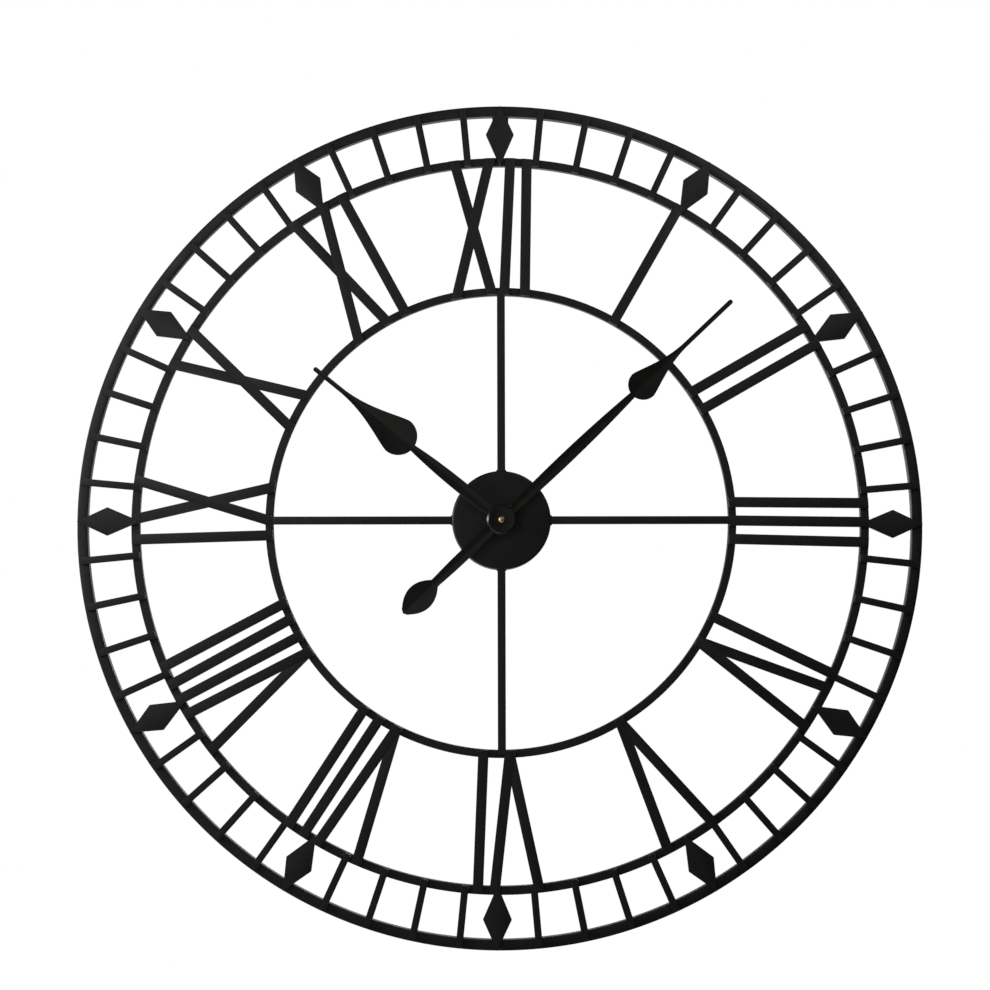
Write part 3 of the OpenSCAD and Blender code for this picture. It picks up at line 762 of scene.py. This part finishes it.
def strip(bm, half, line):
    """The bent strip above the tab, with softened edges."""
    rows = []
    for i, (z, y) in enumerate(line):
        before, after = line[max(i - 1, 0)], line[min(i + 1, len(line) - 1)]
        tangent = Vector((after[0] - before[0], after[1] - before[1])).normalized()
        normal = Vector((-tangent.y, tangent.x))
        shrink = STRIP_CHAMFER if i == len(line) - 1 else 0.0
        row = []
        for x, n in ((-half, -1), (-half, 1), (half, 1), (half, -1)):
            sx = 1 if x > 0 else -1
            cuts = [(0, STRIP_EDGE), (STRIP_EDGE, 0)]
            for ex, en in cuts if sx * n > 0 else reversed(cuts):
                off = n * (STRIP_T / 2 - en - shrink)
                row.append(bm.verts.new(strip_point(x - sx * (ex + shrink), y + normal.y * off,
                                                    z + normal.x * off)))
        rows.append(row)
    # the first row only sets the direction: the tab takes its place
    join(bm, rows[1:])
    bm.faces.new(rows[-1])
    bmesh.ops.delete(bm, geom=rows[0], context="VERTS")


def tab(bm, half, start_z):
    """The tab: half disc and straight flanks round the dressed hole, up to the first bend."""
    steps = 48

    def reach(a):
        """Distance of the tab's outline from the middle of the hole."""
        u, v = math.sin(a), math.cos(a)
        if v <= 0:
            return half
        return min(half / abs(u) if abs(u) > 1e-9 else 1e9, start_z / v)

    outside = [(STRIP_EDGE, 0.0), (0.0, STRIP_EDGE), (0.0, STRIP_T - STRIP_EDGE),
               (STRIP_EDGE, STRIP_T)]
    inside = [(STRIP_CHAMFER, STRIP_T), (0.0, STRIP_T - STRIP_CHAMFER), (0.0, STRIP_CHAMFER),
              (STRIP_CHAMFER, 0.0)]
    loops = []
    for k in range(steps):
        a = 2 * math.pi * k / steps
        section = [(reach(a) - inset, y) for inset, y in outside]
        section += [(STRIP_HOLE_R + inset, y) for inset, y in inside]
        loops.append([bm.verts.new(strip_point(r * math.sin(a), y, r * math.cos(a)))
                      for r, y in section])
    join(bm, loops + loops[:1])


def bracket(rng):
    """Strip bent twice with rounded bends, a round end and a dressed hole, and its two welds."""
    lo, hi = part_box("hanging_bracket")
    half = (hi.x - lo.x) / 2 / MM
    pad_front, top = -lo.y / MM, hi.z / MM
    line = strip_line(pad_front, top)
    bm = bmesh.new()
    strip(bm, half, line)
    tab(bm, half, line[1][0])
    weld_from = OUTER_IN + 1 + CZ / MM
    for side in (-1, 1):
        start = strip_point(side * half, pad_front - 0.6, weld_from)
        end = strip_point(side * half, pad_front - 0.6, top - 1)
        bead(bm, start, end, 1.1, rng)
    piece("bracket_bent", bm, COAT, FRAME_BODY, ["hanging_bracket"])


bracket(weld_rng)


# ---- Hands ---------------------------------------------------------------------------

FOLD_RISE = 0.12
FOLD_SOFT = 0.7
SHEET = 0.8
# The sheet's back stands this far off the boss's back.
SHEET_UP = 0.1
CUT_DROP = 0.22
# Clock angles of the hands at rest.
HOUR_AT = 309.1
MINUTE_AT = 46.5


def belly(t, root, middle, end):
    """Half width of a shaft that swells from its root and thins to its end."""
    return ((1 - t) ** 2 * root + 2 * t * (1 - t) * (2 * middle - (root + end) / 2)
            + t * t * end)


def spade(start, root, middle, neck, bulb_at, bulb_r, needle_at, needle, length, curve):
    """Rows of (distance, half width): shaft, round bulb, needle with a rounded tip.

    The lower curve is, the sooner the bulb thins to the needle.
    """
    shaft_rows, bulb_rows, needle_rows = 24, 24, 40
    neck_a = math.asin(neck / bulb_r)
    bulb_from = bulb_at - bulb_r * math.cos(neck_a)
    rows = [(start + t * (bulb_from - start), belly(t, root, middle, neck))
            for t in (i / shaft_rows for i in range(shaft_rows + 1))]
    for i in range(1, bulb_rows + 1):
        a = neck_a + (math.pi / 2 - neck_a) * i / bulb_rows
        rows.append((bulb_at - bulb_r * math.cos(a), bulb_r * math.sin(a)))
    for i in range(1, needle_rows + 1):
        t = i / needle_rows
        s = t ** curve
        rows.append((bulb_at + t * (needle_at - bulb_at),
                     needle + (bulb_r - needle) * (1 - s) ** 2 * (1 + 2 * s)))
    for a in (0, 25, 45, 60, 72, 82, 88):
        rows.append((length - needle + needle * math.sin(math.radians(a)),
                     needle * math.cos(math.radians(a))))
    return rows


def leaf_tail(start, root, middle, neck, leaf_at, leaf_r, length):
    """Rows of the minute hand's tail: shaft, then a pointed leaf."""
    shaft_rows, leaf_rows = 16, 41
    rows = [(start + t * (leaf_at - start), belly(t, root, middle, neck))
            for t in (i / shaft_rows for i in range(shaft_rows + 1))]
    for i in range(1, leaf_rows):
        t = 0.03 + 0.94 * i / leaf_rows
        rows.append((leaf_at + t * (length - leaf_at),
                     max(neck, leaf_r * math.sin(math.pi * t) ** 0.7)))
    rows.append((length, 0.3))
    return rows


def rise(x):
    """How far the folded sheet stands forward at a distance from its fold."""
    return FOLD_RISE * (math.hypot(x, FOLD_SOFT) - FOLD_SOFT * math.exp(-abs(x) / 3))


def blade(bm, rows, back, angle):
    """Sheet folded along its middle, edges forward, with rounded cut edges."""
    loops = []
    for z, w in rows:
        e = min(0.35, w * 0.3)
        f = min(1.2, w * 0.3)
        xs = [-w + 0.3 * e, -w + e, -(w + f) / 2, -f, -f / 2, 0, f / 2, f, (w + f) / 2,
              w - e, w - 0.3 * e]
        drops = [CUT_DROP] + [0] * 9 + [CUT_DROP]
        front = [(x, back + SHEET + rise(x) - d) for x, d in zip(xs, drops)]
        rear = [(x, back + rise(x) + d) for x, d in zip(xs, drops)][::-1]
        right = [(w, back + SHEET / 2 + rise(w))]
        left = [(-w, back + SHEET / 2 + rise(w))]
        loops.append([bm.verts.new(at(*turn((x, z), angle), y))
                      for x, y in front + right + rear + left])
    tube(bm, loops)


def dish(bm, r, bore, back, front, rim, fall):
    """Round hub boss: hollowed gently towards its bore, with a sloping rim."""
    sunk = 0.85
    flat = r - rim
    points = [(bore, back), (r - 0.8, back), (r - 0.25, back + 0.18), (r, back + 0.5)]
    points += [(r, front - fall), (flat, front)]
    points += [(flat * share, front - sunk * (1 - share ** 2))
               for share in (0.92, 0.82, 0.7, 0.56, 0.42, 0.28)]
    points.append((bore, front - sunk))
    lathe(bm, points, 96, round_dial)


def hour_hand():
    """The hour hand: its boss and a spade blade."""
    bm = bmesh.new()
    back, _ = depths("hour_hand")
    dish(bm, r=12, bore=3.6, back=back, front=back + 1.3, rim=0.7, fall=0.45)
    rows = spade(start=7, root=4.2, middle=5.9, neck=3.3, bulb_at=125.3, bulb_r=18.1,
                 needle_at=195.3, needle=2.25, length=228, curve=0.68)
    blade(bm, rows, back + SHEET_UP, HOUR_AT)
    piece("hour_hand_pressed", bm, HAND, "hour_hand", ["hour_hand"])


def minute_hand():
    """The minute hand: its boss, a spade blade, a leaf tail and a lump at the blade's root."""
    bm = bmesh.new()
    back, _ = depths("minute_hand")
    dish(bm, r=14, bore=3, back=back, front=back + 1.9, rim=1.7, fall=1.3)
    rows = spade(start=8, root=3.9, middle=5.7, neck=3.1, bulb_at=184.5, bulb_r=14.3,
                 needle_at=241.5, needle=2.25, length=302, curve=0.66)
    blade(bm, rows, back + SHEET_UP, MINUTE_AT)
    rows = leaf_tail(start=8, root=4.3, middle=5.4, neck=4.4, leaf_at=83.5, leaf_r=12.9,
                     length=127)
    blade(bm, rows, back + SHEET_UP, MINUTE_AT + 180)
    lump = [at(*turn((-3.1, v), MINUTE_AT), back + SHEET_UP + 0.9) for v in (13.4, 16.8)]
    bead(bm, lump[0], lump[1], 1.3, random.Random(3))
    piece("minute_hand_pressed", bm, HAND, "minute_hand", ["minute_hand"])


hour_hand()
minute_hand()


def cap_nut():
    """Domed brass nut with a turned flange."""
    _, r = radii("cap_nut")
    base, top = depths("cap_nut")
    dome_from = base + 1.2
    points = [(0, base + 2.2), (1.4, base + 2.2), (1.4, base), (r - 0.2, base), (r, base + 0.2),
              (r, base + 0.55), (r - 0.18, base + 0.68), (r - 0.18, base + 0.82),
              (r, base + 0.95), (r, dome_from)]
    points += [(r * math.cos(a), dome_from + (top - dome_from) * math.sin(a))
               for a in (math.radians(d) for d in range(8, 90, 8))]
    points.append((0, top))
    bm = bmesh.new()
    solid_of_revolution(bm, points, 64, round_dial)
    piece("cap_nut_turned", bm, BRASS, "minute_hand", ["cap_nut"], sharp=50)


cap_nut()


# ---- Movement, seen from behind ------------------------------------------------------

def battery():
    """AA cell: sleeve over a can, a crimped shoulder and a stepped nub at the right."""
    lo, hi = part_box("battery")
    _, v, depth = centre("battery")
    r = (hi.z - lo.z) / 2 / MM
    x0, x1 = (lo.x - CX) / MM, (hi.x - CX) / MM
    points = [(0, x0 + 0.25), (3.2, x0 + 0.25), (3.7, x0), (r - 1.3, x0), (r - 0.75, x0 + 0.12),
              (r - 0.6, x0 + 0.5), (r - 0.2, x0 + 0.55), (r, x0 + 0.9), (r, x1 - 2.3),
              (r - 0.25, x1 - 1.9), (r - 0.9, x1 - 1.7), (r - 1.2, x1 - 1.25), (3.6, x1 - 1.15),
              (2.95, x1 - 1.2), (2.75, x1 - 0.9), (2.75, x1 - 0.25), (2.5, x1), (0, x1)]

    def along_x(radius, a, x):
        return at(x, v + radius * math.cos(a), depth + radius * math.sin(a))

    bm = bmesh.new()
    solid_of_revolution(bm, points, 72, along_x)
    sleeve_from, sleeve_to = x0 + 0.52, x1 - 1.75
    obj = piece("battery_cell", bm, SLEEVE, FRAME_BODY, ["battery"], sharp=40)
    obj.data.materials.append(STEEL)
    for f in obj.data.polygons:
        x = (f.center.x - CX) / MM
        if x < sleeve_from or x > sleeve_to:
            f.material_index = 1


def knob():
    """Fluted setting knob with a recessed middle; its profile is in shares of its radius."""
    u, v, _ = centre("setting_knob")
    back, front = depths("setting_knob")
    lo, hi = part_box("setting_knob")
    r = (hi.x - lo.x) / 2 / MM
    flutes = 18
    around = flutes * 8
    groove_depth = 0.055
    grooved_from = 0.85
    profile = [(0.28, front), (1.0, front), (1.0, back + 0.5), (0.96, back + 0.15),
               (0.9, back), (0.66, back), (0.6, back + 0.15), (0.56, back + 0.7),
               (0.28, back + 0.7)]
    bm = bmesh.new()
    loops = []
    for k in range(around):
        a = 2 * math.pi * k / around
        groove = groove_depth * max(0.0, math.cos(flutes * a)) ** 0.6
        loop = []
        for share, y in profile:
            rad = r * (share - (groove if share > grooved_from else 0))
            loop.append(bm.verts.new(at(u + rad * math.sin(a), v + rad * math.cos(a), y)))
        loops.append(loop)
    join(bm, loops + loops[:1])
    piece("setting_knob_fluted", bm, CASE, "setting_knob", ["setting_knob"],
          sharp=40)


def contact_blade(bm, x, thick, v, depth):
    """Contact blade with clipped corners, standing across the battery bay."""
    w, h, c = 4.0, 5.0, 1.2
    outline = [(-w + c, -h), (w - c, -h), (w, -h + c), (w, h - c), (w - c, h), (-w + c, h),
               (-w, h - c), (-w, -h + c)]
    tube(bm, [[bm.verts.new(at(side, v + q, depth + p)) for p, q in outline]
              for side in (x, x + thick)])


def spiral(bm, x0, v, depth):
    """A flat spiral spring that rises a little towards the cell."""
    turns, steps, around = 2.6, 110, 8
    wire, widest, narrows, climb = 0.2, 3.5, 1.9, 0.2
    ax = Vector((1, 0, 0))
    corners = [2 * math.pi * k / around for k in range(around)]
    rings = []
    for i in range(steps + 1):
        t = i / steps
        a = 2 * math.pi * turns * t
        r = widest - narrows * t
        x = x0 + climb * t
        c = at(x + wire * 0.6, v + r * math.cos(a), depth + r * math.sin(a))
        out = (at(x, v + math.cos(a), depth + math.sin(a)) - at(x, v, depth)).normalized()
        rings.append([bm.verts.new(c + (out * math.cos(q) + ax * math.sin(q) * 0.9) * wire * MM)
                      for q in corners])
    tube(bm, rings)


def spring():
    """The negative contact: a blade and a spiral spring that presses on the cell."""
    lo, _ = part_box("contact_negative")
    _, v, depth = centre("contact_negative")
    x0 = (lo.x - CX) / MM
    bm = bmesh.new()
    contact_blade(bm, x0, 0.4, v, depth)
    spiral(bm, x0 + 0.42, v, depth)
    piece("contact_negative_spring", bm, STEEL, FRAME_BODY, ["contact_negative"],
          sharp=40)


battery()
knob()
spring()


# ---- Nodes shown as they are, with softened edges ------------------------------------

SOFT_EDGES = {
    "gasket": 0.2, "washer": 0.12, "hex_nut": 0.25, "threaded_bush": 0.15, "case_front": 0.3,
    "case_back": 0.3, "contact_positive": 0.1, "circuit_board": 0.1, "chip": 0.3,
    "quartz_crystal": 0.2, "stator": 0.1, "coil_bobbin": 0.15, "coil_winding": 0.1,
    "hour_collet": 0.12, "minute_collet": 0.12,
}
SLOT_OF = {sub["node"]: sub["material_slot"] for sub in frame["record"]["subparts"]}
for name, node in NODES.items():
    for slot in node.material_slots:
        slot.link = "OBJECT"
        slot.material = BY_SLOT[SLOT_OF[name]]
    width = SOFT_EDGES.get(name)
    # flat faces are merged first, so that the bevel runs along whole edges
    if width:
        flat = node.modifiers.new("flatten", "DECIMATE")
        flat.decimate_type = "DISSOLVE"
        flat.angle_limit = math.radians(1)
        soft = node.modifiers.new("soften", "BEVEL")
        soft.width = width * MM
        soft.segments = 2
        soft.limit_method = "ANGLE"
        soft.angle_limit = math.radians(40)
        soft.harden_normals = False


# ---- Stage, light and camera ---------------------------------------------------------

def stage_floor():
    """A pale floor that glows a little and lights nothing."""
    half_side = 2600 * MM
    z = CAD_LO.z - 750 * MM
    corners = ((-1, -1), (1, -1), (1, 1), (-1, 1))
    bm = bmesh.new()
    bm.faces.new([bm.verts.new((half_side * x, half_side * y, z)) for x, y in corners])
    data = bpy.data.meshes.new("floor")
    bm.to_mesh(data)
    bm.free()
    m = Shader("pale_floor", grey(0.8), 0.7, specular=0.2)
    m.colour(m.ramp(m.noise(3, 3), [(0.3, grey(0.78)), (0.7, grey(0.83))]))
    m.bsdf.inputs["Emission Color"].default_value = (*grey(0.7), 1)
    m.bsdf.inputs["Emission Strength"].default_value = 0.9
    data.materials.append(m.mat)
    obj = bpy.data.objects.new("floor", data)
    obj.visible_diffuse = False
    obj.visible_glossy = False
    bpy.context.collection.objects.link(obj)


def area_light(name, place, aim, size, power):
    """A rectangular light at a place, turned to a point and hidden from the camera."""
    light = bpy.data.lights.new(name, "AREA")
    light.shape = "RECTANGLE"
    light.size, light.size_y = size
    light.energy = power
    obj = bpy.data.objects.new(name, light)
    obj.location = place
    obj.rotation_mode = "QUATERNION"
    obj.rotation_quaternion = (Vector(aim) - Vector(place)).to_track_quat("-Z", "Y")
    obj.visible_camera = False
    bpy.context.collection.objects.link(obj)


def world():
    """Plain white to look at, a soft uneven studio to be lit by."""
    w = bpy.data.worlds.new("studio")
    w.use_nodes = True
    tree = w.node_tree
    tree.nodes.clear()
    out = tree.nodes.new("ShaderNodeOutputWorld")
    mix = tree.nodes.new("ShaderNodeMixShader")
    path = tree.nodes.new("ShaderNodeLightPath")
    seen = tree.nodes.new("ShaderNodeBackground")
    lit = tree.nodes.new("ShaderNodeBackground")
    coords = tree.nodes.new("ShaderNodeTexCoord")
    dot = tree.nodes.new("ShaderNodeVectorMath")
    ramp = tree.nodes.new("ShaderNodeValToRGB")
    shift = tree.nodes.new("ShaderNodeMapRange")
    seen.inputs["Color"].default_value = (1, 1, 1, 1)
    seen.inputs["Strength"].default_value = 1.0
    lit.inputs["Strength"].default_value = 1.0
    dot.operation = "DOT_PRODUCT"
    dot.inputs[1].default_value = Vector((-0.45, 0.62, -0.64)).normalized()
    shift.inputs["From Min"].default_value = -1.0
    shift.inputs["From Max"].default_value = 1.0
    set_stops(ramp, [(0.0, grey(0.03)), (0.52, grey(0.03)), (0.7, grey(0.25)), (0.88, grey(1.0)),
                     (1.0, grey(1.3))])
    link = tree.links.new
    link(coords.outputs["Generated"], dot.inputs[0])
    link(dot.outputs["Value"], shift.inputs["Value"])
    link(shift.outputs["Result"], ramp.inputs["Fac"])
    link(ramp.outputs["Color"], lit.inputs["Color"])
    link(path.outputs["Is Camera Ray"], mix.inputs[0])
    link(lit.outputs["Background"], mix.inputs[1])
    link(seen.outputs["Background"], mix.inputs[2])
    link(mix.outputs["Shader"], out.inputs["Surface"])
    bpy.context.scene.world = w


def camera():
    """In front of the dial, a little left of and below the axis."""
    place = at(-26.7, -83.2, 1517.9)
    target = at(-6, 23.9, 22.5)
    roll = math.radians(-0.116)
    cam = bpy.data.cameras.new("camera")
    cam.sensor_width = 36
    cam.lens = 57.7
    obj = bpy.data.objects.new("camera", cam)
    look = (target - place).to_track_quat("-Z", "Y")
    obj.location = place
    obj.rotation_mode = "QUATERNION"
    obj.rotation_quaternion = look @ Quaternion((0, 0, 1), roll)
    bpy.context.collection.objects.link(obj)
    bpy.context.scene.camera = obj


def studio_light(name, clock, off_axis, distance, size, power):
    """A light by its clock angle and angle off the dial's axis; distance and size in metres."""
    middle = at(0, 0, 20)
    turn_by, lean = math.radians(clock), math.radians(off_axis)
    away = Vector((math.sin(lean) * math.sin(turn_by), -math.cos(lean),
                   math.sin(lean) * math.cos(turn_by)))
    area_light(name, middle + distance * away, middle, size, power)


stage_floor()
world()
studio_light("key", clock=303, off_axis=38, distance=1.5, size=(0.6, 0.6), power=1.7)
studio_light("edge_left", clock=277, off_axis=76, distance=2.2, size=(0.4, 0.6), power=17)
studio_light("fill_low", clock=230, off_axis=18, distance=1.5, size=(0.9, 0.9), power=0.42)
studio_light("fill_high", clock=35, off_axis=50, distance=1.5, size=(0.9, 0.9), power=2.1)
studio_light("rear_key", clock=40, off_axis=150, distance=1.5, size=(0.9, 0.9), power=9)
studio_light("rear_fill", clock=250, off_axis=130, distance=1.8, size=(0.9, 0.9), power=5)
studio_light("side_right", clock=90, off_axis=112, distance=1.8, size=(0.6, 0.9), power=1)
camera()
bpy.context.scene.view_settings.view_transform = "Standard"
